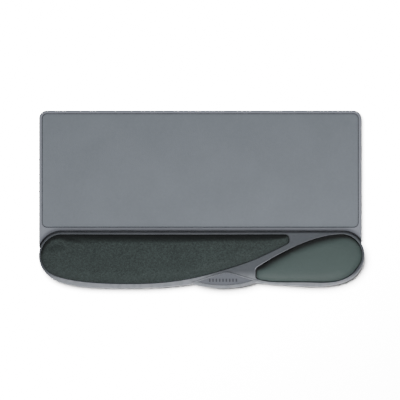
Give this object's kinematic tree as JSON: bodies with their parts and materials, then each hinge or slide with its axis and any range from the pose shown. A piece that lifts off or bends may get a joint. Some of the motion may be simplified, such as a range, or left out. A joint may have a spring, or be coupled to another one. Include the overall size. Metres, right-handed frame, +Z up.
{
  "type": "wrist rest",
  "caption": "Low desk platform with a raised rim for a keyboard and mouse, and a sloping front palm frame holding a long fabric pad and a smooth teardrop pad.",
  "frame": {"origin": "centre of the footprint, on the desk surface the feet stand on", "axes": "+X to the user's right, +Y away from the user towards the rear rim, +Z up"},
  "size_m": [0.686, 0.3751, 0.0333],
  "materials": {
    "shell_plastic": "fine moulded grain, satin",
    "deck_mat": "matt, fine grippy grain",
    "tape": "adhesive film, hidden",
    "frame_plastic": "fine moulded grain, satin",
    "badge": "smooth satin plate with raised bars",
    "knit_fabric": "tight dark grey-green knit",
    "foam": "open-cell foam, hidden",
    "board": "plain moulded board, hidden",
    "smooth_leatherette": "smooth, faint grain, low sheen",
    "gel": "soft clear gel, hidden",
    "grip_rubber": "matt, dark grey",
    "steel": "zinc-plated",
    "rubber_foot": "matt black"
  },
  "bodies": {
    "root": {"platform_shell": "shell_plastic", "deck_mat": "deck_mat", "mat_tape": "tape", "palm_frame": "frame_plastic", "badge_plate": "badge", "grip_bars": "grip_rubber", "typing_pad_cover": "knit_fabric", "typing_pad_foam": "foam", "typing_pad_board": "board", "mousing_pad_cover": "smooth_leatherette", "mousing_pad_gel": "gel", "mousing_pad_board": "board", "palm_screws": "steel", "typing_pad_screws": "steel", "mousing_pad_screws": "steel", "foot_rear_left": "rubber_foot", "foot_rear_centre": "rubber_foot", "foot_rear_right": "rubber_foot", "foot_middle_left": "rubber_foot", "foot_middle_centre": "rubber_foot", "foot_middle_right": "rubber_foot", "foot_front_left": "rubber_foot", "foot_front_centre": "rubber_foot", "foot_front_right": "rubber_foot"}
  },
  "joints": []
}
